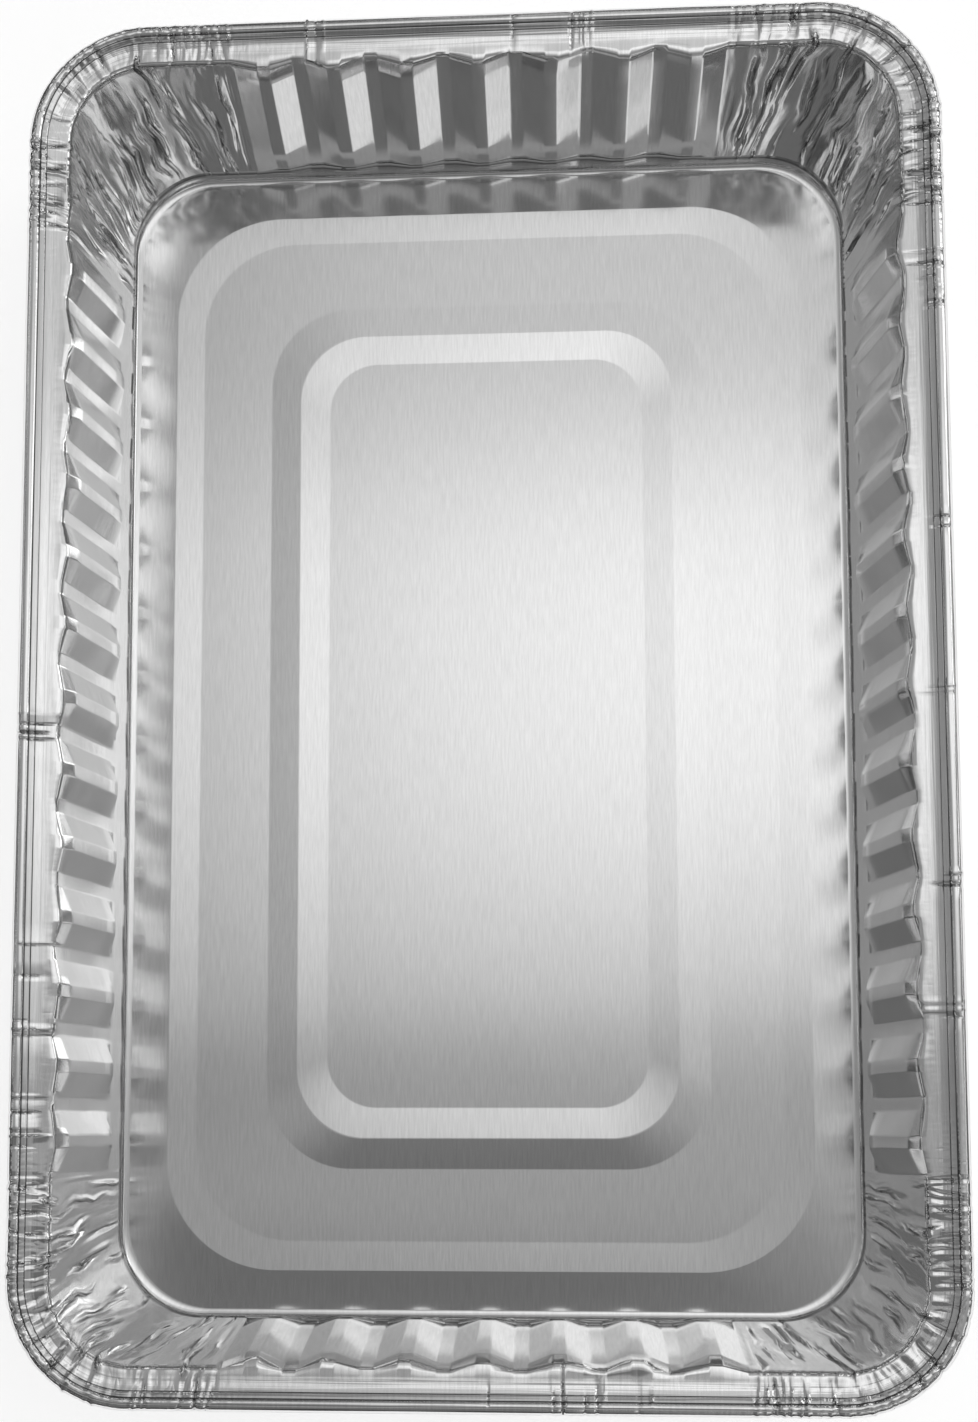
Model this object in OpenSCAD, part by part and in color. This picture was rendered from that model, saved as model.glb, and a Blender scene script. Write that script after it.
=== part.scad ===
// Foil cake pan: one sheet of foil pressed into a rectangular tray. From the outside in it has a
// rolled bead, a grooved flange, a fluted wall with crumpled corners, a foot that it stands on and
// a floor stiffened by pressed bands. Origin at the middle of the foot's underside, +Z up,
// +Y along the pan.

/* [Pan] */
// Length over the rolled rim
pan_l = 330; // [250:1:400]
// Width over the rolled rim
pan_w = 218; // [190:1:280]
// Height from the foot to the top of the rim
pan_h = 49; // [35:1:70]
// Thickness of the foil
foil_t = 0.1; // [0.06:0.02:0.3]
// Corner radius of the rim's outline
rim_corner_r = 29; // [25:1:40]

/* [Rim] */
// Diameter of the rolled bead
bead_d = 3.6; // [2.4:0.2:4.4]
// How far the bead is rolled under, in degrees
bead_turn = 300; // [180:10:330]
// Distance of the groove behind the bead from the outline
groove_at = 4.7; // [4.5:0.1:5.4]
// Depth of the groove below the top of the bead
groove_drop = 1.5; // [0.8:0.1:2.2]
// Distance of the ridge inside the groove from the outline
ridge_at = 6.1; // [5.8:0.1:6.6]
// Drop of the ridge below the top of the bead
ridge_drop = 0.5; // [0.2:0.1:0.8]
// Distance of the flange's flat from the outline
flat_at = 6.9; // [6.8:0.1:7.4]
// Drop of the flange's flat below the top of the bead
flat_drop = 0.9; // [0.5:0.1:1.4]
// Distance of the flange's inner bend from the outline
bend_at = 8.3; // [7.8:0.1:9]
// Distance of the wall's upper edge from the outline
edge_at = 9.9; // [9.4:0.1:10.8]
// Drop of the wall's upper edge below the top of the bead
edge_drop = 1.9; // [1.5:0.1:2.6]

/* [Wall] */
// Height over which the upper edge rounds into the wall
edge_h = 1.8; // [1:0.2:3]
// Run of that round edge towards the middle
edge_run = 0.4; // [0.2:0.1:0.8]
// Lean of the wall towards the middle, in degrees
wall_lean = 9.6; // [4:0.2:16]
// Distance from one flute to the next
flute_pitch = 17.4; // [15:0.1:24]
// Depth of a flute, towards the inside
flute_deep = 2.2; // [1:0.1:3.5]
// Width of a flute's flat top
flute_top_w = 3; // [2:0.5:6]
// Width of a flute's sloping side
flute_side_w = 5.6; // [4:0.1:7]
// Height above the foot where a flute starts to fade
fade_top = 17; // [13:1:24]
// Height above the foot where a flute has faded out
fade_end = 9; // [7:0.5:12]
// Height of the crease above the foot
crease_z = 4.6; // [3.5:0.2:6]
// Rise and fall of the crease under the flutes
crease_wave = 0.5; // [0:0.1:0.8]
// Depth of the crumples in the corners
crumple_deep = 0.8; // [0:0.1:1.2]
// Length of side between the last flute and the rim's corner
crumple_l = 18; // [12:1:22]

/* [Floor] */
// Radius of the bend from the wall into the foot
foot_r = 2; // [1:0.2:3]
// Corner radius of the foot
foot_corner_r = 21.3; // [18:0.5:26]
// Width of the foot's flat underside
foot_flat_w = 1; // [0.6:0.2:2]
// Width of the band inside the foot
outer_band_w = 9.4; // [6:0.5:14]
// Rise of that band from the foot to the first crest
outer_band_rise = 0.6; // [0.2:0.1:1.5]
// Width of the slope inside the first crest
outer_slope_w = 7.2; // [4:0.2:10]
// Drop of that slope
outer_slope_drop = 0.3; // [0.1:0.1:0.5]
// Width of the level band
level_band_w = 17.9; // [10:0.5:24]
// Width of the slope up to the second crest
inner_slope_w = 7.6; // [4:0.2:10]
// Rise of that slope
inner_slope_rise = 0.35; // [0.1:0.05:1]
// Width of the slope down to the middle panel
panel_slope_w = 7.6; // [4:0.2:10]
// Drop of that slope
panel_slope_drop = 0.35; // [0.1:0.05:0.5]
// Corner radius of the first crest
crest_corner_r = 27.5; // [24:0.5:32]
// Corner radius of the level band's outer edge
level_corner_r = 24; // [21:0.5:28]
// Corner radius of the level band's inner edge
slope_corner_r = 21; // [18:0.5:24]
// Corner radius of the second crest
peak_corner_r = 17; // [14:0.5:20]
// Corner radius of the middle panel
panel_corner_r = 12.5; // [9:0.5:16]

/* [Hidden] */

// Steps round one rim corner and along the bend into the foot, and the angle of a step of the roll
arc_steps = 8;
foot_steps = 3;
roll_step = 45;
// Where the roll starts beside the groove, above the level of its centre
roll_start = 30;
// Crumple steps along the end of a short side, round a corner and along the end of a long side
short_steps = 4;
turn_steps = 12;
long_steps = 6;
// Fall of the flange's flat towards the wall for each mm of its width
flat_fall = 0.1;
// Seeds that set which way the crumples fall
crumple_seed = 12;
height_seed = 40;

half_w = pan_w / 2;
half_l = pan_l / 2;
// Flutes on each side of a side's middle one
short_flutes = floor((half_w - rim_corner_r - crumple_l - flute_reach()) / flute_pitch);
long_flutes = floor((half_l - rim_corner_r - crumple_l - flute_reach()) / flute_pitch);

// The foil's middle surface, as a path of rings from the bead's free edge to the middle panel.
// Each ring is [inset from the outline, height, corner radius, flute depth, crumple, wave, fine].
bead_r = (bead_d - foil_t) / 2;
top_z = pan_h - foil_t / 2;
foot_z = foil_t / 2;
wall_top_at = edge_at + edge_run;
wall_top_z = top_z - edge_drop - edge_h;
// Where the wall meets the bend into the foot
wall_end_z = foot_z + foot_r * (1 - sin(wall_lean));
foot_at = wall_inset(wall_end_z);

roll_end = roll_start + bead_turn;
roll_turns = [
    roll_end,
    for (turn = [360 - roll_step : -roll_step : 90]) if (turn < roll_end - roll_step / 2) turn,
    roll_start
];
roll_rings = [
    for (turn = roll_turns)
        rim_ring(bead_d / 2 + bead_r * cos(turn), top_z - bead_r * (1 - sin(turn)))
];
flange_rings = [
    rim_ring(groove_at, top_z - groove_drop),
    rim_ring(ridge_at, top_z - ridge_drop),
    rim_ring(flat_at, top_z - flat_drop)
];
// A fine ring without flutes lies between every plain ring and the fluted ones
wall_rings = [
    [bend_at, top_z - flat_drop - flat_fall * (bend_at - flat_at), rim_corner_r - bend_at, 0, 0, 0, true],
    [edge_at, top_z - edge_drop, rim_corner_r - edge_at, flute_deep, 0.6, 0, true],
    wall_ring(wall_top_z, 1, 1),
    wall_ring((wall_top_z + fade_top) / 2, 1, 1),
    wall_ring(fade_top, 1, 0.8),
    wall_ring(fade_end, 0, 0.5),
    [wall_inset(crease_z), crease_z, foot_corner_r, 0, 0, crease_wave, true]
];
foot_rings = [
    for (i = [0 : foot_steps])
        let (turn = wall_lean + (90 - wall_lean) * i / foot_steps)
            [foot_at + foot_r * (cos(wall_lean) - cos(turn)), foot_z + foot_r * (1 - sin(turn)),
             foot_corner_r, 0, 0, 0, i == 0]
];
foot_in = foot_at + foot_r * cos(wall_lean) + foot_flat_w;
crest_at = foot_in + outer_band_w;
crest_z = foot_z + outer_band_rise;
level_at = crest_at + outer_slope_w;
level_z = crest_z - outer_slope_drop;
slope_at = level_at + level_band_w;
peak_at = slope_at + inner_slope_w;
peak_z = level_z + inner_slope_rise;
panel_at = peak_at + panel_slope_w;
panel_z = peak_z - panel_slope_drop;
floor_rings = [
    [foot_in, foot_z, foot_corner_r, 0, 0, 0, false],
    [crest_at, crest_z, crest_corner_r, 0, 0, 0, false],
    [level_at, level_z, level_corner_r, 0, 0, 0, false],
    [slope_at, level_z, slope_corner_r, 0, 0, 0, false],
    [peak_at, peak_z, peak_corner_r, 0, 0, 0, false],
    [panel_at, panel_z, panel_corner_r, 0, 0, 0, false]
];
rings = concat(roll_rings, flange_rings, wall_rings, foot_rings, floor_rings);
last = len(rings) - 1;

// Half the width of a flute over its sloping sides
function flute_reach() = flute_top_w / 2 + flute_side_w;

// A plain ring of the rim, its corners concentric with the outline's
function rim_ring(inset, z) = [inset, z, rim_corner_r - inset, 0, 0, 0, false];

// The wall's inset at a height
function wall_inset(z) = wall_top_at + (wall_top_z - z) * tan(wall_lean);

// A ring of the wall; its corner radius runs from the rim's to the foot's down the wall
function wall_ring(z, flute, crumple) =
    let (down = (wall_top_z - z) / (wall_top_z - foot_z))
        [wall_inset(z), z,
         (rim_corner_r - wall_top_at) * (1 - down) + foot_corner_r * down,
         flute_deep * flute, crumple, 0, true];

// Direction across the foil at a ring, towards the inside of the pan, as [inset, height]
function ring_normal(i) =
    let (step = [for (k = [0, 1]) rings[min(i + 1, last)][k] - rings[max(i - 1, 0)][k]])
        i == last ? [0, 1] : [-step[1], step[0]] / norm(step);

// The half length of the straight part of side q and the flutes on each side of its middle one
function half_side(q, inset, r) = (q % 2 == 0 ? half_l : half_w) - inset - r;
function flutes_on(q) = q % 2 == 0 ? long_flutes : short_flutes;
function flutes_end(q) = flutes_on(q) * flute_pitch + flute_reach();

// Sides run anticlockwise from the +X one, and corner q follows side q
function turned(q, p) = [p, [-p[1], p[0]], -p, [p[1], -p[0]]][q];
function side_point(q, along, inset) = turned(q, [(q % 2 == 0 ? half_w : half_l) - inset, along]);
function corner_point(q, turn, inset, r) =
    let (across = (q % 2 == 0 ? half_w : half_l) - inset - r)
        turned(q, [across + r * cos(turn), half_side(q, inset, r) + r * sin(turn)]);

// Crumple steps of corner q: along the end of its side, round it, and along the next side's end
function first_steps(q) = q % 2 == 0 ? long_steps : short_steps;
function corner_steps(q) = first_steps(q) + turn_steps + first_steps(q + 1);

// Each crumple is a fold of its own depth, to one side and the other in turn
function crumple(q, k, i) =
    let (fold = rands(0.3, 1, corner_steps(q), crumple_seed + q)[k],
         drift = rands(-0.3, 0.3, corner_steps(q), height_seed + 4 * i + q)[k])
            (k % 2 == 0 ? fold : -fold) + drift;

// A fine ring follows the flutes and the crumples; a plain ring has points on its corners only
function flute_points(q, inset, ring) = [
    for (f = [-flutes_on(q) : flutes_on(q)], knot = [-2, -1, 1, 2])
        let (top = abs(knot) == 1,
             off = sign(knot) * (top ? flute_top_w / 2 : flute_reach()),
             p = side_point(q, f * flute_pitch + off, inset + (top ? ring[3] : 0)))
                [p[0], p[1], top ? ring[5] : -ring[5]]
];
function crumple_points(q, i, inset, r, ring) =
    let (n = first_steps(q), m = first_steps(q + 1), all = corner_steps(q))
    [for (k = [1 : all - 1])
        let (push = inset + ring[4] * crumple_deep * crumple(q, k, i),
             end = half_side(q, inset, r), next_end = half_side(q + 1, inset, r),
             p = k < n ? side_point(q, flutes_end(q) + (end - flutes_end(q)) * k / n, push)
               : k > n + turn_steps
                 ? side_point((q + 1) % 4, -flutes_end(q + 1) - (next_end - flutes_end(q + 1))
                     * (all - k) / m, push)
               : corner_point(q, 90 * (k - n) / turn_steps, push, r - push + inset))
                [p[0], p[1], 0]
    ];
function ring_points(i, across) =
    let (ring = rings[i], n = ring_normal(i) * across,
         inset = ring[0] + n[0], z = ring[1] + n[1], r = ring[2] - n[0])
    [for (q = [0 : 3])
        each ring[6]
            ? [for (p = concat(flute_points(q, inset, ring), crumple_points(q, i, inset, r, ring)))
                  [p[0], p[1], z + p[2]]]
            : [for (k = [0 : arc_steps])
                  let (p = corner_point(q, 90 * k / arc_steps, inset, r)) [p[0], p[1], z]]
    ];

// Where each side's points start on a fine ring, and how many points a ring has
function fine_start(q) = q == 0 ? 0
    : fine_start(q - 1) + 4 * (2 * flutes_on(q - 1) + 1) + corner_steps(q - 1) - 1;
plain_count = 4 * (arc_steps + 1);
fine_count = fine_start(4);
function ring_count(i) = rings[i][6] ? fine_count : plain_count;
function ring_start(i) = i == 0 ? 0 : ring_start(i - 1) + ring_count(i - 1);

// The point of a plain ring that a fine ring's point hangs from
function fine_side(k) = k < fine_start(1) ? 0 : k < fine_start(2) ? 1 : k < fine_start(3) ? 2 : 3;
function plain_owner(k) =
    let (q = fine_side(k), on = k - fine_start(q), flutes = 4 * (2 * flutes_on(q) + 1),
         step = round((on - flutes + 1 - first_steps(q)) * arc_steps / turn_steps))
            on < flutes / 2 ? (q * (arc_steps + 1) + plain_count - 1) % plain_count
            : q * (arc_steps + 1) + max(0, min(arc_steps, step));

// Triangles between ring i and the next, seen from the inside of the pan; base is the index of
// the surface's first point, and flip turns them over for the underside
function faced(t, flip) = flip ? [t[2], t[1], t[0]] : t;
function strip(i, base, flip) =
    let (a = base + ring_start(i), b = base + ring_start(i + 1), n = ring_count(i),
         m = ring_count(i + 1))
    n == m ? [
        for (k = [0 : n - 1])
            let (j = (k + 1) % n)
                each [faced([a + k, a + j, b + j], flip), faced([a + k, b + j, b + k], flip)]
    ] : n < m ? [
        for (k = [0 : m - 1])
            let (j = (k + 1) % m, from = plain_owner(k), to = plain_owner(j))
                each from == to ? [faced([a + from, b + j, b + k], flip)]
                : [faced([a + from, b + j, b + k], flip), faced([a + from, a + to, b + j], flip)]
    ] : [
        for (k = [0 : n - 1])
            let (j = (k + 1) % n, from = plain_owner(k), to = plain_owner(j))
                each from == to ? [faced([a + k, a + j, b + from], flip)]
                : [faced([a + k, a + j, b + from], flip), faced([a + j, b + to, b + from], flip)]
    ];

// The sheet: its upper and lower surfaces, closed along the bead's free edge and over the panel
module foil_pan() {
    surface_count = ring_start(last) + plain_count;
    points = [for (side = [0.5, -0.5], i = [0 : last]) each ring_points(i, side * foil_t)];
    faces = [
        for (i = [0 : last - 1]) each strip(i, 0, false),
        for (i = [0 : last - 1]) each strip(i, surface_count, true),
        for (k = [0 : plain_count - 1])
            let (j = (k + 1) % plain_count)
                each [[surface_count + k, surface_count + j, j], [surface_count + k, j, k]],
        [for (k = [0 : plain_count - 1]) ring_start(last) + k],
        [for (k = [plain_count - 1 : -1 : 0]) surface_count + ring_start(last) + k]
    ];
    color("silver") polyhedron(points, [for (f = faces) [for (k = [len(f) - 1 : -1 : 0]) f[k]]], 4);
}

foil_pan();
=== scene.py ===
import math

import bpy
import numpy as np
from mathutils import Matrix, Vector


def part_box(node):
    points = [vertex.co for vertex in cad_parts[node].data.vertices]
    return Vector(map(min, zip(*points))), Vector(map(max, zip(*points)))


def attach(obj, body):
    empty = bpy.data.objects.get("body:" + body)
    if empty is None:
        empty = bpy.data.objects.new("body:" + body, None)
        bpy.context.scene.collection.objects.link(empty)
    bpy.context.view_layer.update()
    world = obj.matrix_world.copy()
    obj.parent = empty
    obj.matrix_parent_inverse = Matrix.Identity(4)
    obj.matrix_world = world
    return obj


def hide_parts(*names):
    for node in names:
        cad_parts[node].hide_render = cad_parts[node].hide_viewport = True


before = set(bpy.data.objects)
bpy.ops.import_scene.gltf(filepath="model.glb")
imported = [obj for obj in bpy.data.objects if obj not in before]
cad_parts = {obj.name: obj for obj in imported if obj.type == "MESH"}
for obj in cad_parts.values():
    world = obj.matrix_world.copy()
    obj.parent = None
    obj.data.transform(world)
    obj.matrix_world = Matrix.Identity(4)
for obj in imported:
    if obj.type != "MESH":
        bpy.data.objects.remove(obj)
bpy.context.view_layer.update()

lowCorner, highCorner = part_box("foil_pan")
print("frame loaded")

# The pan, in millimetres. Length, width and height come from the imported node.
pan = {
    "length": (highCorner[1] - lowCorner[1]) * 1000,
    "width": (highCorner[0] - lowCorner[0]) * 1000,
    "height": (highCorner[2] - lowCorner[2]) * 1000,
    "foil": 0.1,
    "rimCorner": 29,            # corner radius of the outline
    "beadRadius": 1.8,
    "footCorner": 21.3,
    "wallTopInset": 10.3,       # where the wall starts, in from the outline
    "wallTopDrop": 3.7,         # and below the top of the bead
    "wallLean": 9.6,            # degrees from upright
    "footBend": 0.6,
    "toe": 1.4,                 # width of the slope between the bend and the floor
    "toeRise": 0.25,
    "creaseHeight": 4.35,       # line above the foot; below it the wall stands upright
    "creaseStep": 0.38,         # how far that line stands in from the wall
    "creaseWave": 0.7,          # how far it waves up and down
    "bandStart": 0.45,          # slope at the start of the outermost band, as a share of its mean
    "bandBend": 0.2,            # half the width of a bend between two bands
    "coarse": 4,                # the foot bend and the floor keep one point out of so many
}
flute = {
    "pitch": 17.4,
    "depth": 2.2,
    "top": 3.0,                 # width of the flat top
    "side": 5.6,                # width of each slope
    "soften": 0.3,              # how far its bends are rounded
    # on a long side, then on a short one
    "eachWay": (6, 3),          # flutes on each side of the middle one
    "end": ((12.8, 15.5), (4.4, 14)),   # heights between which a flute dies away
    "swing": (0, 1.1),          # how far out the crease swings between two flutes
    "topShare": (0.5, 0.75),    # share of its depth at its top
    "swingFade": 7,             # run over which the swing dies away at the ends of a side
    "fullFrom": 3,              # depths below the top between which it grows to its full depth
    "fullAt": 6,
}
crumple = {
    "steps": 176,               # points round one corner
    "folds": 42,                # long folds in one corner
    "foldShift": (-0.6, 1.6),   # how far they lie from even places, in shares of their spacing
    "foldReach": (4, 14),       # half their length
    "foldStrength": (0.3, 1),
    "foldDepth": 1.4,
    "foldSteep": (0.45, 0.6),   # width of a fold's steep side
    "foldSlow": (0.5, 1.5),     # and of its slow side
    "foldLean": 0.1,            # how far a fold leans over each mm of its run
    "foldCurve": 0.5,           # how far its ends curve away
    "foldLow": 3.2,             # height where the folds have faded out
    "foldFade": 7,              # and the height over which they fade
    "foldRing": 9,              # rim ring from which they run down
    # painted shade in the hollow beside each fold's steep side: its width, then how soon it is full
    "foldShadeWidth": 0.5,
    "foldShadeGain": 3,             # how soon that painted shade is full
    "shareGain": 1.5,           # and how soon the painted shade beside the folds and the crinkles are full where the folds set in
    "leastCreased": 0.5,        # how creased the foil is at both ends of a corner
    "sway": 1.3,                # how far the folds wander sideways
    "swayCell": (8, 7),         # and over what width and height
    "facetDepth": 0.065,        # steepness of the broad facets between the folds
    "facetCell": (5, 24),       # their width and height
    "facetMean": 1.6,
    "smallDepth": 0.04,         # the same of the small facets
    "smallCell": (3, 13),
    "smallMean": 0.9,
    "warp": 0.8,                # how far the facets' places are shifted
    "warpCell": (10, 14),
    "fadeOut": 5,               # how far the crumpling runs into the flutes
    "arcRadius": 20,            # corner radius that shares out the points round a corner
    "edgeShare": 0.3,           # how crinkled the edge under the flange is
    "edgeDepth": 0.95,          # and how uneven
    "edgeCell": (4.5, 4),
    "edgeDrop": 2.5,            # how far it lies below the top
    "edgeBand": 2.2,            # and how far up and down that runs out
    "edgeFrom": 8,              # distance from the outline from which it is crinkled
    "edgeInset": (9, 10.2),     # and those between which it grows uneven
    "edgeSides": (0.5, 1),      # share of that on a long side and on a short one
    "sideReach": 34,            # how far the small crinkles run along a side
    "sideShare": 0.45,
    "sharpTurn": 42,            # degrees between faces from which an edge is crisp
    "seed": 5,
}
pinch = {
    "corner": 70,               # notches across the rim in one corner
    "sides": (16, 10),          # and on a long side and a short one, mostly in twos and threes
    "clear": (6, 10),           # how far they stay from the start and the end of a side
    "gap": (1.6, 3.2),          # between two notches of a group
    "bendGap": 0.05,            # from a bend of a flute
    "depth": 0.35,
    "strength": (0.3, 1),       # share of that depth
    "reach": 0.5,               # half the width of a notch
    "dark": 0.5,                # painted shade at its bottom: how much darker it is made
    "lean": 0.25,               # how far a notch leans over each mm of its run in a corner
    "start": (-6, 7),           # where it starts, along the sheet from the bead's free edge
    "taper": 1.5,               # run over which it grows and dies away
    "pivot": 10,                # place along the sheet about which it leans
    "stop": 9,                  # where it stops at the soonest
    "sideStop": 17,             # and at the latest on a side
    "cornerStop": 24,           # and in a corner
    "onRoll": 0.8,              # its share on top of the bead
    "underRoll": 0.2,           # and under it
    "underFrom": 230,           # degrees of the roll from which that holds
    "seed": 11,
}

# Turns of the roll from the bead's free edge to its top, in degrees
rollTurns = (300, 250, 205, 165, 130, 98, 70)
# Rim rings: inset from the outline, drop below the top, then how much of the flutes, the folds and
# the pinches each one takes, and how much painted shade darkens it along its tight creases
rimRings = [
    (2.95, 0.35, 0, 0.05, 1.0, 0.2), (3.15, 0.62, 0, 0.05, 1.0, 1), (3.4, 0.60, 0, 0.05, 1.0, 0.25),
    (4.35, 0.95, 0, 0.10, 1.0, 0.1), (4.55, 1.10, 0, 0.10, 1.0, 1), (4.75, 1.08, 0, 0.10, 0.9, 0.1),
    (5.8, 1.48, 0, 0.15, 0.9, 0), (7.0, 1.57, 0, 0.15, 0.8, 0), (8.1, 1.66, 0.05, 0.40, 0.6, 0),
    (8.9, 1.73, 0.5, 0.60, 0.5, 0), (9.6, 1.86, 0.9, 0.80, 0.5, 0), (10.1, 2.4, 1, 0.95, 0.4, 0),
    (10.3, 3.4, 1, 1, 0.2, 0),
]
# Wall rings: height, how much of the crease step and of its waves each one takes, and how much painted
# shade darkens it where the crease above the foot is tight
wallRings = [
    (43.5, 0, 0, 0), (41.5, 0, 0, 0), (37.5, 0, 0, 0), (33.5, 0, 0, 0), (29.5, 0, 0, 0),
    (25.5, 0, 0, 0), (21.5, 0, 0, 0), (15.5, 0, 0, 0), (12.8, 0, 0, 0), (10.2, 0, 0.2, 0),
    (7.8, 0, 0.45, 0), (6.4, 0, 0.7, 0), (5.0, 0, 1, 0), (4.6, -1.0, 1, 0.2), (4.3, 0.6, 1, 0.8),
    (3.9, 1, 1, 0.35), (2.3, 0.3, 0.4, 0),
]
# Floor bends: inset from the foot's inner edge, height, corner radius
floorBends = [
    (9.4, 0.48, 27.5), (16.6, 0.18, 24.0), (34.5, 0.18, 21.0), (42.1, 0.53, 17.0), (49.7, 0.18, 12.5),
]


def smoothStep(value, low, high):
    # from 0 at low to 1 at high, level at both: t^2 * (3 - 2t)
    t = np.clip((value - low) / (high - low), 0, 1)
    return t * t * (3 - 2 * t)


def wallInset(height):
    # the wall leans in steadily from its top to the crease line, then stands upright
    top = pan["height"] - pan["wallTopDrop"]
    drop = top - max(height, pan["creaseHeight"])
    return pan["wallTopInset"] + drop * math.tan(math.radians(pan["wallLean"]))


def panProfile():
    # Rings from the bead's free edge to the middle panel. Each is inset, height, corner radius, then
    # how much of the flutes, folds, pinches and crease wave it takes, and how much painted shade it
    # gets in tight creases.
    rings = []
    for turn in rollTurns:
        angle = math.radians(turn)
        inset = pan["beadRadius"] * (1 + math.cos(angle))
        share = pinch["onRoll"] if turn < pinch["underFrom"] else pinch["underRoll"]
        rings.append((inset, pan["height"] - pan["beadRadius"] * (1 - math.sin(angle)),
                      pan["rimCorner"] - inset, 0, 0.05, share, 0, 0))
    for inset, drop, fluteShare, foldShare, pinchShare, dark in rimRings:
        rings.append((inset, pan["height"] - drop, pan["rimCorner"] - inset, fluteShare, foldShare,
                      pinchShare, 0, dark))
    top = pan["height"] - pan["wallTopDrop"]
    for height, stepShare, waveShare, dark in wallRings:
        down = (top - height) / top
        rings.append((wallInset(height) + pan["creaseStep"] * stepShare, height,
                      (pan["rimCorner"] - pan["wallTopInset"]) * (1 - down) + pan["footCorner"] * down,
                      1, float(np.clip((height - crumple["foldLow"]) / crumple["foldFade"], 0, 1)), 0,
                      waveShare, dark))
    fineRings = len(rings)
    bend = pan["footBend"]
    toeTurn = math.pi / 2 - math.atan2(2 * pan["toeRise"], pan["toe"])
    bendLow = pan["foil"] + pan["toeRise"] + bend * math.sin(toeTurn)
    for turn in np.linspace(0, toeTurn, 4):
        rings.append((wallInset(0) + bend * (1 - math.cos(turn)), bendLow - bend * math.sin(turn),
                      pan["footCorner"], 0, 0, 0, 0, 0))
    footInner = wallInset(0) + bend * (1 - math.cos(toeTurn)) + pan["toe"]
    # the slope of the toe levels off towards the floor
    for back in (0.7, 0.42, 0.18, 0):
        rings.append((footInner - pan["toe"] * back, pan["foil"] + pan["toeRise"] * back ** 2,
                      pan["footCorner"], 0, 0, 0, 0, 0))
    footRing = len(rings) - 1
    # the outermost band rises slowly at first
    span, rise, corner = floorBends[0]
    start = pan["bandStart"]
    for part in (0.25, 0.5, 0.75):
        rings.append((footInner + span * part, pan["foil"] + rise * part * (start + (1 - start) * part),
                      pan["footCorner"] * (1 - part) + corner * part, 0, 0, 0, 0, 0))
    for inset, height, corner in floorBends:
        for side in (-pan["bandBend"], pan["bandBend"]):
            rings.append((footInner + inset + side, height + pan["foil"], corner, 0, 0, 0, 0, 0))
    return np.array(rings, float), fineRings, footRing


def fluteWave(along, count):
    # a flat top between two slopes at every pitch, averaged over a short stretch to round its bends
    reach = flute["top"] / 2 + flute["side"]
    total = np.zeros_like(along)
    shifts = np.linspace(-1, 1, 5) * flute["soften"]
    for shift in shifts:
        place = along + shift
        nearest = np.clip(np.round(place / flute["pitch"]), -count, count)
        off = np.abs(place - nearest * flute["pitch"])
        total += np.clip((reach - off) / flute["side"], 0, 1)
    return total / len(shifts)


def sidePinches(rng, half, amount):
    # notches gathered in twos and threes along a side, well clear of its ends
    places = []
    while len(places) < amount:
        start = rng.uniform(-half + pinch["clear"][0], half - pinch["clear"][1])
        places.extend(start + np.cumsum(rng.uniform(*pinch["gap"], rng.integers(1, 4))))
    return np.sort(np.array(places[:amount]))


def sideStations(count, pinches):
    # places along a side that need points: two at each bend of a flute, three at each notch
    reach = flute["top"] / 2 + flute["side"]
    soft = flute["soften"]
    offsets = np.array([s * (edge + d) for s in (-1, 1) for edge in (flute["top"] / 2, reach)
                        for d in (-soft, soft)])
    bends = (np.arange(-count, count + 1)[:, None] * flute["pitch"] + offsets).ravel()
    notches = (pinches[:, None] + np.array([-1, 0, 1]) * pinch["reach"]).ravel()
    ends = reach + soft + count * flute["pitch"]
    notches = notches[np.abs(notches) < ends]
    clear = np.abs(notches[:, None] - bends[None, :]).min(axis=1) > pinch["bendGap"]
    return np.sort(np.concatenate([bends, notches[clear]]))


def smoothNoise(rng, a, b, cellA, cellB):
    # random values, one for each cell of a grid, blended smoothly between cells: -1 to 1
    cellsA, cellsB = a / cellA, b / cellB
    placeA, placeB = np.floor(cellsA).astype(int), np.floor(cellsB).astype(int)
    partA, partB = smoothStep(cellsA - placeA, 0, 1), smoothStep(cellsB - placeB, 0, 1)
    placeA, placeB = placeA - placeA.min(), placeB - placeB.min()
    table = rng.uniform(-1, 1, (placeA.max() + 2, placeB.max() + 2))
    near = table[placeA, placeB] * (1 - partA) + table[placeA + 1, placeB] * partA
    far = table[placeA, placeB + 1] * (1 - partA) + table[placeA + 1, placeB + 1] * partA
    return near * (1 - partB) + far * partB


def foldField(rng, around, down, length, top, foot):
    # Long narrow folds from the rim towards the foot. Each has a steep side and a slow one, and its
    # height is largest at its middle: (1 - run^2) * (1 - off / width). Beside its steep side the
    # sheet gets painted shade, a dark line in the hollow.
    total, paintedShade = np.zeros_like(around), np.zeros_like(around)
    lean, curve = crumple["foldLean"], crumple["foldCurve"]
    for fold in range(crumple["folds"]):
        middle = rng.uniform(top, foot)
        reach = rng.uniform(*crumple["foldReach"])
        run = (down - middle) / reach
        line = (fold + rng.uniform(*crumple["foldShift"])) * length / crumple["folds"]
        line = line + rng.uniform(-lean, lean) * (down - middle) + rng.uniform(-curve, curve) * run ** 2
        steep, slow = rng.uniform(*crumple["foldSteep"]), rng.uniform(*crumple["foldSlow"])
        off = (around - line) * rng.choice([-1, 1])
        shape = np.clip(1 - np.where(off > 0, off / steep, -off / slow), 0, 1)
        strength = rng.uniform(*crumple["foldStrength"]) * np.clip(1 - run ** 2, 0, 1)
        total += strength * rng.choice([-1, 1]) * shape
        # painted shade in the hollow just past the steep side, where the fold would shade the sheet
        beside = np.clip(1 - np.abs(off - steep) / crumple["foldShadeWidth"], 0, 1)
        paintedShade = np.maximum(paintedShade, np.minimum(strength * crumple["foldShadeGain"], 1) * beside)
    return total * crumple["foldDepth"], paintedShade


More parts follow.
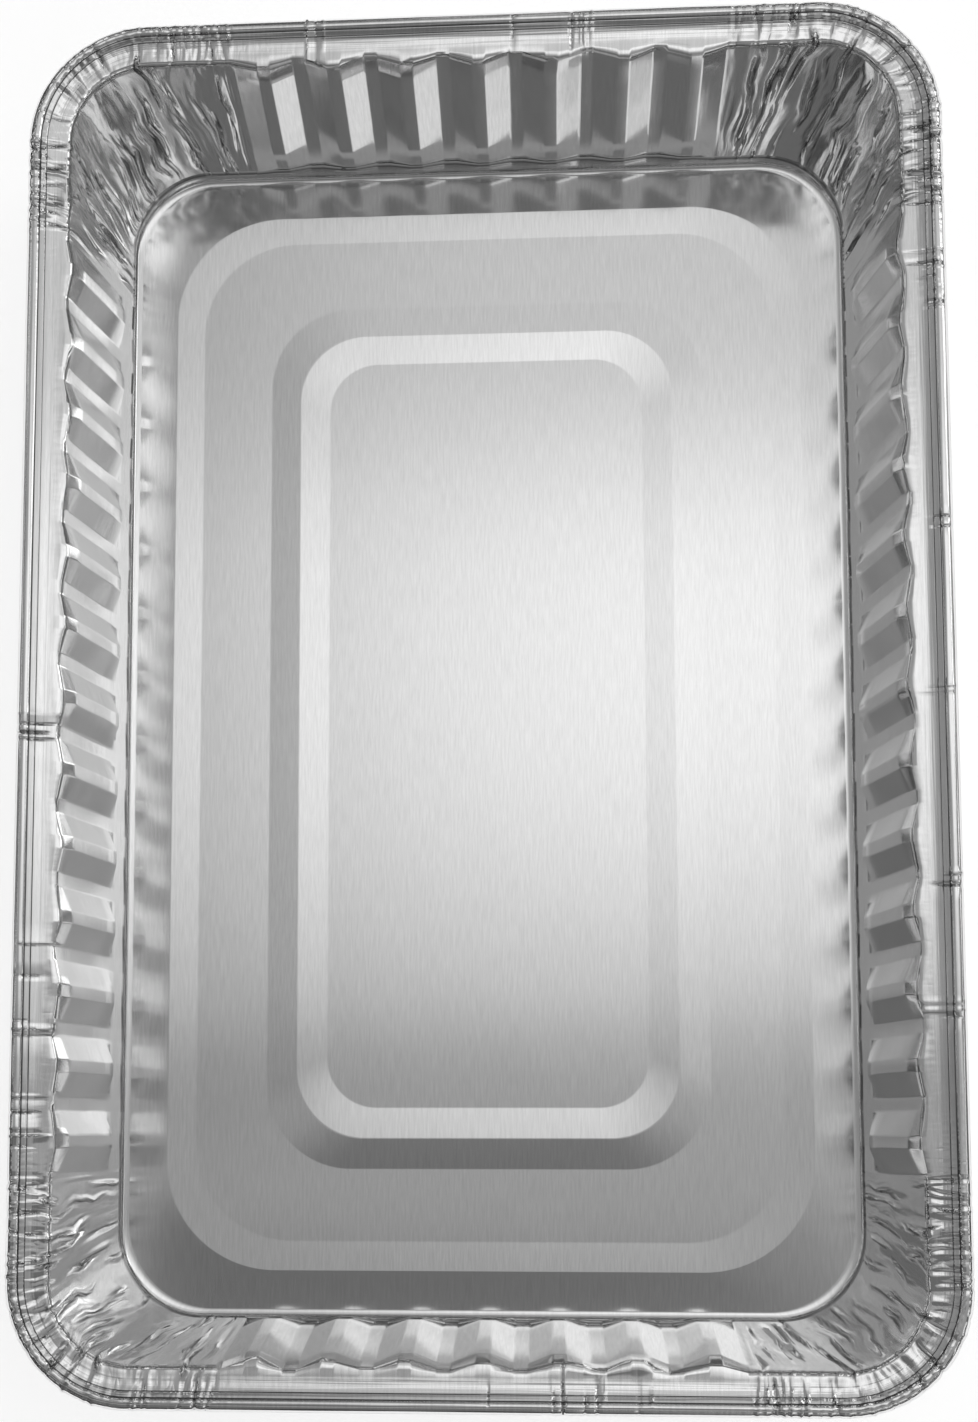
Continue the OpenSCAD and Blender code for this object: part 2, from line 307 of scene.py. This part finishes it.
def cells(rng, around, down, length, wide, tall):
    # the sheet split into long cells round scattered points: how much nearer the nearest point is
    # than the next one, so that cells meet in sharp creases
    amount = int(length * np.ptp(down) / (wide * tall))
    across = rng.uniform(-wide, length + wide, amount)
    along = rng.uniform(down.min(), down.max(), amount)
    tilt = (along[:, None, None] - down) * wide / tall
    gaps = np.sort(np.hypot(around - across[:, None, None], tilt), axis=0)
    return gaps[1] - gaps[0]


def facetField(rng, around, down, length):
    # large and small cells, their places shifted by smooth noise so that the creases wander
    warp = crumple["warp"] * smoothNoise(rng, around, down, *crumple["warpCell"])
    large = cells(rng, around + warp, down, length, *crumple["facetCell"]) - crumple["facetMean"]
    small = cells(rng, around + warp, down, length, *crumple["smallCell"]) - crumple["smallMean"]
    return large * crumple["facetDepth"] + small * crumple["smallDepth"]


def pinchField(rng, around, down, places, lean, longest):
    # notches across the rim, each a narrow V that may stop part of the way
    total = np.zeros_like(around)
    for place in places:
        start, stop = rng.uniform(*pinch["start"]), rng.uniform(pinch["stop"], longest)
        inside = smoothStep(down, start, start + pinch["taper"])
        inside = inside * (1 - smoothStep(down, stop - pinch["taper"], stop))
        line = place + rng.uniform(-lean, lean) * (down - pinch["pivot"])
        shape = np.clip(1 - np.abs(around - line) / pinch["reach"], 0, 1)
        total += rng.uniform(*pinch["strength"]) * rng.choice([-1, -1, 1]) * shape * inside
    return total * pinch["depth"]


def sheetRings():
    # The profile's rings as columns with a row for each ring. Path is how far a ring lies along the
    # sheet, and intoPan and upward are the direction square to the sheet there.
    rings, fineRings, footRing = panProfile()
    names = ("inset", "height", "corner", "fluteShare", "foldShare", "pinchShare", "waveShare", "dark")
    columns = {name: rings[:, k][:, None] for k, name in enumerate(names)}
    step = np.vstack([rings[1:2, :2] - rings[:1, :2], rings[2:, :2] - rings[:-2, :2],
                      rings[-1:, :2] - rings[-2:-1, :2]])
    step /= np.hypot(step[:, 0], step[:, 1])[:, None]
    columns["intoPan"], columns["upward"] = -step[:, 1][:, None], step[:, 0][:, None]
    path = np.concatenate([[0], np.cumsum(np.hypot(*np.diff(rings[:, :2], axis=0).T))])
    columns["path"] = path[:, None]
    columns["drop"] = pan["height"] - columns["height"]
    columns["onFloor"] = (np.arange(len(rings)) > footRing)[:, None]
    return columns, fineRings, footRing


def sideSpan(rings, footRing, kind):
    # A side of the pan, kind 0 for a long one and 1 for a short one, measured from its middle: where
    # it ends, where its flutes end, and where its straight ends on each ring. On the floor the points
    # draw together as the straights grow shorter.
    half = (pan["length"], pan["width"])[kind] / 2
    reach = flute["top"] / 2 + flute["side"] + flute["soften"]
    straight = half - rings["inset"] - rings["corner"]
    return {
        "half": half,
        "ends": flute["eachWay"][kind] * flute["pitch"] + reach,
        "straight": straight,
        "shrink": np.where(rings["onFloor"], straight / straight[footRing], 1),
    }


def flutedStretch(rings, kind, here, there, rng, pinchRng, walked):
    # The flutes of a side. The wall is pushed outwards by the flutes, and across the sheet by notches
    # and by the uneven gathered edge under the flange.
    height, drop, ends = rings["height"], rings["drop"], here["ends"]
    count = flute["eachWay"][kind]
    notches = sidePinches(pinchRng, ends, pinch["sides"][kind])
    at = sideStations(count, notches)[None, :]
    down = rings["path"] + 0 * at
    wave = fluteWave(at, count) + 0 * down
    field = pinchField(pinchRng, at + 0 * down, down, notches, 0, pinch["sideStop"])
    field = field * rings["pinchShare"]
    # painted shade at the bottoms of the notches, joined below with the rings' painted crease lines
    shade = np.minimum(np.abs(field) / pinch["depth"], 1) * pinch["dark"]
    uneven = smoothNoise(rng, at + 0 * down, down, *crumple["edgeCell"]) * crumple["edgeDepth"]
    uneven = uneven * np.exp(-((drop - crumple["edgeDrop"]) / crumple["edgeBand"]) ** 2)
    uneven = uneven * crumple["edgeSides"][kind]
    field = field + uneven * smoothStep(rings["inset"], *crumple["edgeInset"])
    topShare = flute["topShare"][kind]
    grown = topShare + (1 - topShare) * smoothStep(drop, flute["fullFrom"], flute["fullAt"])
    low, high = flute["end"][kind]
    grown = grown * np.clip((height - low) / (high - low), 0, 1)
    swing = flute["swing"][kind] * (1 - wave)
    swing = swing * smoothStep(ends - np.abs(at), 0, flute["swingFade"]) * rings["waveShare"]
    push = wave * flute["depth"] * rings["fluteShare"] * grown - swing + field * rings["intoPan"]
    lift = field * rings["upward"] + (wave - 0.5) * pan["creaseWave"] * rings["waveShare"]
    creased = np.clip(1 - (ends - np.abs(at)) / crumple["sideReach"], 0, 1) ** 2
    creased = creased * crumple["sideShare"] + 0 * down
    return (there["half"] - rings["inset"] - push, at * here["shrink"], lift, 0 * down, creased,
            np.maximum(rings["dark"], shade), at + walked + ends + 0 * down)


def crumpledStretch(rings, folded, here, there, rng, pinchRng, walked):
    # The rest of a side, the corner and the start of the next side, with points shared out evenly.
    # They are pushed across the sheet by folds, facets and notches, and sway along it.
    corner, foldShare, ends = rings["corner"], rings["foldShare"], here["ends"]
    straight, nextStraight = here["straight"], there["straight"]
    t = (np.arange(1, crumple["steps"]) / crumple["steps"])[None, :] + 0 * rings["path"]
    lengths = np.array([(straight - ends)[0, 0], crumple["arcRadius"] * math.pi / 2,
                        (nextStraight - there["ends"])[0, 0]])
    length = lengths.sum()
    cut = np.cumsum(lengths) / length
    around = t * length
    down = rings["path"] + 0 * t
    fade = smoothStep(around, 0, crumple["fadeOut"])
    fade = fade * smoothStep(length - around, 0, crumple["fadeOut"])
    folds, paintedShade = foldField(rng, around, down, length, *folded)
    field = (folds + facetField(rng, around, down, length)) * foldShare * fade
    # painted shade beside the folds, full only where the folds have set in
    paintedShade = paintedShade * np.minimum(foldShare * crumple["shareGain"], 1) * fade
    sway = crumple["sway"] * smoothNoise(rng, around, down, *crumple["swayCell"])
    t = t + sway * foldShare * fade / length
    places = pinchRng.uniform(0, length, pinch["corner"])
    notch = pinchField(pinchRng, around, down, places, pinch["lean"], pinch["cornerStop"])
    notch = notch * rings["pinchShare"]
    # painted shade at the bottoms of the notches
    shade = np.minimum(np.abs(notch) / pinch["depth"], 1) * pinch["dark"]
    field = field + notch
    push, lift = field * rings["intoPan"], field * rings["upward"]
    first = np.clip(t / cut[0], 0, 1)
    turn = np.clip((t - cut[0]) / (cut[1] - cut[0]), 0, 1) * math.pi / 2
    last = np.clip((t - cut[1]) / (1 - cut[1]), 0, 1)
    outward = nextStraight + (corner - push) * np.cos(turn)
    along = straight + (corner - push) * np.sin(turn)
    nextSide = nextStraight - (nextStraight - there["ends"] * there["shrink"]) * last
    outward = np.where(t > cut[1], nextSide, outward)
    start = ends * here["shrink"]
    along = np.where(t < cut[0], start + (straight - start) * first, along)
    creased = np.maximum(fade, crumple["leastCreased"]) + 0 * down
    # all the painted shade here: beside the folds, the rings' dark crease lines and the notch bottoms
    paintedShade = np.maximum(np.maximum(paintedShade, rings["dark"]), shade)
    return (outward, along, lift, turn + 0 * down, creased, paintedShade, around + walked + 2 * ends), length


def makePanSheet():
    # the pressed sheet in blocks of points: each side's flutes, then the corner after them
    rings, fineRings, footRing = sheetRings()
    folded = rings["path"][[len(rollTurns) + crumple["foldRing"], fineRings - 2], 0]
    blocks = []
    walked = 0
    for side in range(4):
        rng = np.random.default_rng(crumple["seed"] + side)
        pinchRng = np.random.default_rng(pinch["seed"] + side)
        kind = side % 2
        here, there = sideSpan(rings, footRing, kind), sideSpan(rings, footRing, 1 - kind)
        flutes = flutedStretch(rings, kind, here, there, rng, pinchRng, walked)
        corner, length = crumpledStretch(rings, folded, here, there, rng, pinchRng, walked)
        blocks += [(*flutes, side), (*corner, side)]
        walked += 2 * here["ends"] + length
    return rings, fineRings, footRing, blocks, walked


def placeBlocks(rings, footRing, blocks):
    # Turns each block to its side, and works out where its points lie on the sheet before pressing:
    # beyond the foot, straight outwards by their distance along the sheet.
    columns = []
    path = rings["path"]
    for outward, along, lift, turn, creased, paintedShade, walk, side in blocks:
        spin = side * math.pi / 2
        x = outward * math.cos(spin) - along * math.sin(spin)
        y = outward * math.sin(spin) + along * math.cos(spin)
        z = rings["height"] + lift
        beyond = np.maximum(path[footRing] - path, 0)
        flatX = np.where(beyond > 0, x[footRing] + np.cos(turn + spin) * beyond, x)
        flatY = np.where(beyond > 0, y[footRing] + np.sin(turn + spin) * beyond, y)
        columns.append((x, y, z, flatX, flatY, creased, paintedShade, walk))
    x, y, z, flatX, flatY, creased, paintedShade, walk = (np.hstack([c[k] for c in columns]) for k in range(8))
    x = np.clip(x, -pan["width"] / 2, pan["width"] / 2)
    y = np.clip(y, -pan["length"] / 2, pan["length"] / 2)
    z = np.minimum(z, pan["height"])
    return x, y, z, flatX, flatY, creased, paintedShade, walk


def quadStrips(index):
    # four-sided faces between each ring and the next one
    nextCol = np.roll(index, -1, axis=1)
    return np.stack([index[:-1], nextCol[:-1], nextCol[1:], index[1:]], axis=-1).reshape(-1, 4)


def sheetFaces(fine, coarse, owner):
    # four-sided faces between rings alike, three-sided ones where the fine rings meet the coarse ones
    quads = [quadStrips(fine), quadStrips(coarse)]
    near, nextNear = fine[-1], np.roll(fine[-1], -1)
    far, nextFar = coarse[0][owner], np.roll(coarse[0][owner], -1)
    fans = np.stack([near, nextNear, nextFar], -1)
    moved = far != nextFar
    closers = np.stack([near, nextFar, far], -1)[moved]
    triangles = np.concatenate([fans, closers])
    loops = np.concatenate([quads[0].ravel(), quads[1].ravel(), triangles.ravel(), coarse[-1]])
    sizes = np.concatenate([np.full(len(quads[0]) + len(quads[1]), 4), np.full(len(triangles), 3),
                            [coarse.shape[1]]])
    return loops, sizes


def sheetMesh(name, points, loops, sizes, creased, paintedShade, flat, walk, around):
    # the mesh, with how creased each point is, how much painted shade it carries, and the two ways to
    # lay the sheet flat
    mesh = bpy.data.meshes.new(name)
    mesh.vertices.add(len(points))
    mesh.vertices.foreach_set("co", points.ravel() / 1000)
    mesh.loops.add(len(loops))
    mesh.loops.foreach_set("vertex_index", loops)
    mesh.polygons.add(len(sizes))
    mesh.polygons.foreach_set("loop_start", np.cumsum(sizes) - sizes)
    mesh.update(calc_edges=True)
    mesh.validate()
    mesh.polygons.foreach_set("use_smooth", np.ones(len(sizes), bool))
    mesh.set_sharp_from_angle(angle=math.radians(crumple["sharpTurn"]))
    mesh.attributes.new("creased", "FLOAT", "POINT").data.foreach_set("value", creased)
    mesh.attributes.new("paintedShade", "FLOAT", "POINT").data.foreach_set("value", paintedShade)
    mesh.uv_layers.new(name="flatSheet").data.foreach_set("uv", (flat[loops] / 1000).ravel())
    # the walk round the rim closes up, so faces over its seam carry on past its end
    walked = walk[loops]
    start = np.repeat(np.cumsum(sizes) - sizes, sizes)
    behind = walked[:, 0] < walked[start, 0] - around / 2
    ahead = walked[:, 0] > walked[start, 0] + around / 2
    walked[:, 0] += around * (behind.astype(float) - ahead.astype(float))
    mesh.uv_layers.new(name="rimWalk").data.foreach_set("uv", (walked / 1000).ravel())
    return mesh


def noiseAt(nodes, links, vector, scale, detail, rough=0.5):
    # noise from 0 to 1 at a place
    node = nodes.new("ShaderNodeTexNoise")
    node.inputs["Scale"].default_value = scale
    node.inputs["Detail"].default_value = detail
    node.inputs["Roughness"].default_value = rough
    links.new(vector, node.inputs["Vector"])
    return node.outputs["Fac"]


def stretchedUv(nodes, links, layer, scale):
    # a place on the flat sheet or round the rim, in metres, drawn out by a scale
    uv = nodes.new("ShaderNodeUVMap")
    uv.uv_map = layer
    stretch = nodes.new("ShaderNodeMapping")
    stretch.inputs["Scale"].default_value = (*scale, 1)
    links.new(uv.outputs["UV"], stretch.inputs["Vector"])
    return stretch.outputs["Vector"]


def mathNode(nodes, links, operation, *values):
    # one sum between sockets or numbers
    node = nodes.new("ShaderNodeMath")
    node.operation = operation
    for slot, value in zip(node.inputs, values):
        if isinstance(value, (int, float)):
            slot.default_value = value
        else:
            links.new(value, slot)
    return node.outputs[0]


def smoothBetween(nodes, links, value, low, high):
    # from 0 at low to 1 at high, level at both
    node = nodes.new("ShaderNodeMapRange")
    node.interpolation_type = "SMOOTHERSTEP"
    node.inputs["From Min"].default_value = low
    node.inputs["From Max"].default_value = high
    links.new(value, node.inputs["Value"])
    return node.outputs["Result"]


# Bright rolled aluminium. Heights are in millimetres.
foil = {
    "colour": 0.88,
    "roughness": 0.14,
    "grain": 0.7,               # how much duller it is across the rolling lines than along them
    "streakTint": 0.24,         # how far the rolling lines differ in brightness
    "streakHeight": 0.0012,
    "streakScale": 2000,        # rolling lines in a metre, about
    "streakDraw": (1, 0.08),    # and how they are drawn out along the sheet
    "streakRough": 0.6,
    "waveHeight": 0.04,         # slow unevenness of the sheet
    "waveScale": 45,
    "waveDraw": (1, 0.6),
    "crinkleHeight": 0.05,      # small crinkles where the sheet was gathered
    "rimCrinkle": 0.11,         # and on the rim
    "crinkleScale": 420,
    "crinkleDraw": (1, 0.3),
    "paintedShadeStrength": 0.95,          # painted shade: how much darker the colour is made in tight creases, fold hollows and notch bottoms
    "rimLineHeight": 0.06,      # fine lines along the rim
    "rimLineScale": 1300,
    "rimLineDraw": (0.02, 1),
    "rimEnd": 0.0135,           # how far over the sheet these reach, in metres
    "rimFade": 0.002,
    "creasedGloss": 0.05,       # how much smoother the sheet is where it was gathered
}


def foilMaterial():
    # Rolling lines run along the pan's length: noise stretched twelve to one on the flat sheet. Small
    # crinkles are ridges of noise, |2n - 1|, as deep as the sheet is creased there. Fine lines along
    # the rim are noise drawn out fifty to one.
    material = bpy.data.materials.new("rolledFoil")
    material.use_nodes = True
    nodes, links = material.node_tree.nodes, material.node_tree.links

    def m(operation, *values):
        return mathNode(nodes, links, operation, *values)

    shader = nodes["Principled BSDF"]
    shader.inputs["Metallic"].default_value = 1
    shader.inputs["Anisotropic"].default_value = foil["grain"]
    tangent = nodes.new("ShaderNodeTangent")
    tangent.direction_type = "UV_MAP"
    tangent.uv_map = "flatSheet"
    links.new(tangent.outputs[0], shader.inputs["Tangent"])

    creased = nodes.new("ShaderNodeAttribute")
    creased.attribute_name = "creased"
    gloss = m("MULTIPLY", creased.outputs["Fac"], foil["creasedGloss"])
    links.new(m("SUBTRACT", foil["roughness"], gloss), shader.inputs["Roughness"])

    walk = nodes.new("ShaderNodeSeparateXYZ")
    links.new(stretchedUv(nodes, links, "rimWalk", (1, 1)), walk.inputs[0])
    onRim = smoothBetween(nodes, links, walk.outputs["Y"], foil["rimEnd"],
                          foil["rimEnd"] - foil["rimFade"])
    rimLine = noiseAt(nodes, links, stretchedUv(nodes, links, "rimWalk", foil["rimLineDraw"]),
                      foil["rimLineScale"], 1)

    streak = noiseAt(nodes, links, stretchedUv(nodes, links, "flatSheet", foil["streakDraw"]),
                     foil["streakScale"], 2, foil["streakRough"])
    tint = m("ADD", m("MULTIPLY", m("SUBTRACT", streak, 0.5), foil["streakTint"]), foil["colour"])
    # painted shade: the colour is darkened where the sheet is folded tight, along the rim's and the
    # foot's crease lines and in the notch bottoms
    paintedShade = nodes.new("ShaderNodeAttribute")
    paintedShade.attribute_name = "paintedShade"
    tint = m("MULTIPLY", tint, m("SUBTRACT", 1, m("MULTIPLY", paintedShade.outputs["Fac"], foil["paintedShadeStrength"])))
    colour = nodes.new("ShaderNodeCombineColor")
    for slot in ("Red", "Green", "Blue"):
        links.new(tint, colour.inputs[slot])
    links.new(colour.outputs[0], shader.inputs["Base Color"])

    wave = noiseAt(nodes, links, stretchedUv(nodes, links, "flatSheet", foil["waveDraw"]),
                   foil["waveScale"], 1)
    crinkle = noiseAt(nodes, links, stretchedUv(nodes, links, "rimWalk", foil["crinkleDraw"]),
                      foil["crinkleScale"], 1)
    ridge = m("ABSOLUTE", m("SUBTRACT", m("MULTIPLY", crinkle, 2), 1))
    depth = m("MULTIPLY", onRim, foil["rimCrinkle"] - foil["crinkleHeight"])
    depth = m("MULTIPLY", creased.outputs["Fac"], m("ADD", depth, foil["crinkleHeight"]))
    height = m("ADD", m("MULTIPLY", ridge, depth), m("MULTIPLY", streak, foil["streakHeight"]))
    height = m("ADD", height, m("MULTIPLY", wave, foil["waveHeight"]))
    height = m("ADD", height, m("MULTIPLY", m("MULTIPLY", rimLine, foil["rimLineHeight"]), onRim))
    bump = nodes.new("ShaderNodeBump")
    bump.inputs["Distance"].default_value = 0.001
    links.new(height, bump.inputs["Height"])
    links.new(bump.outputs["Normal"], shader.inputs["Normal"])
    return material


def makePan():
    rings, fineRings, footRing, blocks, around = makePanSheet()
    x, y, z, flatX, flatY, creased, paintedShade, walk = placeBlocks(rings, footRing, blocks)
    creased = creased * np.clip(rings["foldShare"] * crumple["shareGain"] + rings["pinchShare"], 0, 1)
    # the gathered edge under the flange is crinkled all round
    below = rings["drop"] - crumple["edgeBand"]
    edge = np.exp(-(below / crumple["edgeBand"]) ** 2) * (rings["inset"] > crumple["edgeFrom"])
    creased = np.maximum(creased, edge * crumple["edgeShare"])
    stations = x.shape[1]
    every = pan["coarse"]
    kept = np.arange(0, stations, every)
    owner = np.minimum((np.arange(stations) + every // 2) // every, len(kept)) % len(kept)

    def pick(values):
        return np.concatenate([values[:fineRings].ravel(), values[fineRings:, kept].ravel()])

    fine = np.arange(fineRings * stations).reshape(fineRings, stations)
    coarse = np.arange((len(x) - fineRings) * len(kept)).reshape(-1, len(kept))
    coarse = coarse + fineRings * stations
    loops, sizes = sheetFaces(fine, coarse, owner)
    points = np.stack([pick(x), pick(y), pick(z)], -1)
    flat = np.stack([pick(flatX), pick(flatY)], -1)
    walked = np.stack([pick(walk), pick(rings["path"] + 0 * walk)], -1)
    mesh = sheetMesh("foilPan", points, loops, sizes, pick(creased), pick(paintedShade), flat, walked, around)
    piece = bpy.data.objects.new("foilPan", mesh)
    bpy.context.scene.collection.objects.link(piece)
    thick = piece.modifiers.new("foilThickness", "SOLIDIFY")
    thick.thickness = pan["foil"] / 1000
    thick.offset = -1
    crisp = piece.modifiers.new("crispBends", "WEIGHTED_NORMAL")
    crisp.weight = 50
    crisp.keep_sharp = True
    mesh.materials.append(foilMaterial())
    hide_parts("foil_pan")
    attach(piece, "root")
    triangles = int((sizes - 2).sum()) * 2
    print("pan sheet:", stations, "points round,", triangles, "triangles with its underside")
    return piece


stage = {
    "size": 3,                  # metres from its middle to its edge
    "colour": 0.9,
    "glow": 0.65,               # how much light it adds where the camera or the foil sees it
}


def makeFloor():
    # pale floor, lit enough to read white, that still takes the pan's shadow
    mesh = bpy.data.meshes.new("floor")
    size = stage["size"]
    mesh.from_pydata([(-size, -size, 0), (size, -size, 0), (size, size, 0), (-size, size, 0)], [],
                     [(0, 1, 2, 3)])
    floor = bpy.data.objects.new("floor", mesh)
    bpy.context.scene.collection.objects.link(floor)
    material = bpy.data.materials.new("paleFloor")
    material.use_nodes = True
    nodes, links = material.node_tree.nodes, material.node_tree.links
    shader = nodes["Principled BSDF"]
    shader.inputs["Base Color"].default_value = (stage["colour"], stage["colour"], stage["colour"], 1)
    shader.inputs["Roughness"].default_value = 1
    shader.inputs["Specular IOR Level"].default_value = 0
    seen = nodes.new("ShaderNodeLightPath")
    shader.inputs["Emission Color"].default_value = (1, 1, 1, 1)
    white = mathNode(nodes, links, "MAXIMUM", seen.outputs["Is Camera Ray"],
                     seen.outputs["Is Glossy Ray"])
    strength = mathNode(nodes, links, "MULTIPLY", white, stage["glow"])
    links.new(strength, shader.inputs["Emission Strength"])
    mesh.materials.append(material)
    return floor


room = {
    # Strengths, then where each thing sets in and ends, as a part of a direction (X, Y, rise) or as
    # u and v: how far a direction leans to +X and +Y for its rise
    "dark": 0.31,               # the side where the photographer stands, and the left
    "bright": 0.62,             # the back and the right
    "brightX": (-0.30, 0.02),
    "brightY": (-0.16, 0.26),
    "lamp": 1.02,               # soft light overhead, drawn out to the right
    "window": 0.9,              # bright patch at the front, to the right
    "clutterDark": 0.25,        # dark and bright things in the room away from overhead
    "clutterBright": 3.0,
    "clutterScale": 7,
    "clutterEdge": (0.49, 0.59),    # values of the noise between which dark turns to bright
    "clutterRise": (0.8, 0.68),
    "horizon": 0.25,            # how much light is left near the horizon
    "horizonRise": (0.12, 0.55),
    "shade": 0.48,              # how bright the dark things in front and at the back are
    "shadeNear": ((-0.04, -0.10), (-0.36, -0.28)),  # v of the one just in front of the pan's middle
    "shadeFront": (-0.45, -0.7),    # v of the low one at the front, and the u of both
    "shadeFrontU": (0.25, 0.05),
    "shadeBack": (0.55, 0.65),      # v and u of the low one at the back
    "shadeBackU": (0.45, 0.3),
    "frontWall": (-0.5, -0.65),     # v and u of a plain wall at the front
    "frontWallU": (0.8, 0.65),
    "edge": 0.72,               # how bright the line across the lamp is
    "edgeV": ((0.040, 0.056), (0.03, -0.04)),
    "edgeU": (0.03, 0.2),
    # v at the lamp's front and back, u at its left and right
    "lampFront": (-0.06, 0.26),
    "lampBack": (0.42, 0.25),
    "lampLeft": (-0.34, 0.12),
    "lampRight": (0.75, 0.5),
    "windowTo": (0.30, -0.65, 0.70),    # direction of the window
    "windowEdge": (0.975, 1.002),       # cosine from that direction at its edge
}


def makeRoom():
    # room light by direction, for the foil to mirror
    world = bpy.data.worlds.new("room")
    bpy.context.scene.world = world
    world.use_nodes = True
    nodes, links = world.node_tree.nodes, world.node_tree.links
    background = nodes["Background"]
    background.inputs["Color"].default_value = (1, 1, 1, 1)
    where = nodes.new("ShaderNodeTexCoord")
    split = nodes.new("ShaderNodeSeparateXYZ")
    links.new(where.outputs["Generated"], split.inputs[0])

    def m(operation, *values):
        return mathNode(nodes, links, operation, *values)

    def smooth(value, low, high):
        return smoothBetween(nodes, links, value, low, high)

    def mix(start, end, share):
        return m("ADD", start, m("MULTIPLY", m("SUBTRACT", end, start), share))

    rise = m("MAXIMUM", split.outputs["Z"], 0.05)
    u = m("DIVIDE", split.outputs["X"], rise)
    v = m("DIVIDE", split.outputs["Y"], rise)
    aside = m("ABSOLUTE", u)
    toBack = smooth(split.outputs["Y"], *room["brightY"])
    toBack = m("MULTIPLY", smooth(split.outputs["X"], *room["brightX"]), toBack)
    far = mix(room["dark"], room["bright"], toBack)
    horizon = mix(room["horizon"], 1.0, smooth(split.outputs["Z"], *room["horizonRise"]))
    far = m("MULTIPLY", far, horizon)
    nearStart, nearEnd = room["shadeNear"]
    near = m("MULTIPLY", smooth(v, *nearStart), smooth(v, *nearEnd))
    front = m("MAXIMUM", near, smooth(v, *room["shadeFront"]))
    front = m("MULTIPLY", front, smooth(u, *room["shadeFrontU"]))
    back = m("MULTIPLY", smooth(v, *room["shadeBack"]), smooth(aside, *room["shadeBackU"]))
    far = m("MULTIPLY", far, mix(1.0, room["shade"], m("MAXIMUM", front, back)))
    # away from overhead the room is dark things and bright ones side by side
    patch = noiseAt(nodes, links, where.outputs["Generated"], room["clutterScale"], 1)
    patch = smooth(patch, *room["clutterEdge"])
    patch = mix(room["clutterDark"], room["clutterBright"], patch)
    frontWall = m("MULTIPLY", smooth(v, *room["frontWall"]), smooth(aside, *room["frontWallU"]))
    share = smooth(split.outputs["Z"], *room["clutterRise"])
    share = m("MULTIPLY", share, m("SUBTRACT", 1, frontWall))
    far = m("MULTIPLY", far, mix(1.0, patch, share))
    lampDeep = m("MULTIPLY", smooth(v, *room["lampFront"]), smooth(v, *room["lampBack"]))
    lampWide = m("MULTIPLY", smooth(u, *room["lampLeft"]), smooth(u, *room["lampRight"]))
    light = mix(far, room["lamp"], m("MULTIPLY", lampDeep, lampWide))
    edgeBack, edgeFront = room["edgeV"]
    edge = m("MAXIMUM", smooth(v, *edgeBack), smooth(v, *edgeFront))
    edge = m("ADD", m("MULTIPLY", edge, 1 - room["edge"]), room["edge"])
    light = m("MULTIPLY", light, m("MAXIMUM", edge, smooth(u, *room["edgeU"])))
    spread = nodes.new("ShaderNodeVectorMath")
    spread.operation = "DOT_PRODUCT"
    spread.inputs[1].default_value = room["windowTo"]
    links.new(where.outputs["Generated"], spread.inputs[0])
    light = mix(light, room["window"], smooth(spread.outputs["Value"], *room["windowEdge"]))
    seen = nodes.new("ShaderNodeLightPath")
    links.new(m("MAXIMUM", light, seen.outputs["Is Camera Ray"]), background.inputs["Strength"])
    return world


view = {
    "place": (0.01583, -0.10141, 0.52026),
    "turn": (6.190, 4.092, 0.068),      # degrees
    "lens": 52.5,
    "shift": (0.0611, 0.1355),
}


def makeCamera():
    # the photo's view, fitted to the lines of the rim, the foot and the floor bands
    data = bpy.data.cameras.new("camera")
    data.lens = view["lens"]
    data.sensor_width = 36
    data.shift_x, data.shift_y = view["shift"]
    data.clip_start = 0.01
    camera = bpy.data.objects.new("camera", data)
    camera.location = view["place"]
    camera.rotation_euler = [math.radians(a) for a in view["turn"]]
    bpy.context.scene.collection.objects.link(camera)
    bpy.context.scene.camera = camera


makePan()
makeFloor()
makeRoom()
makeCamera()
bpy.context.scene.view_settings.view_transform = "Standard"
print("scene ready")
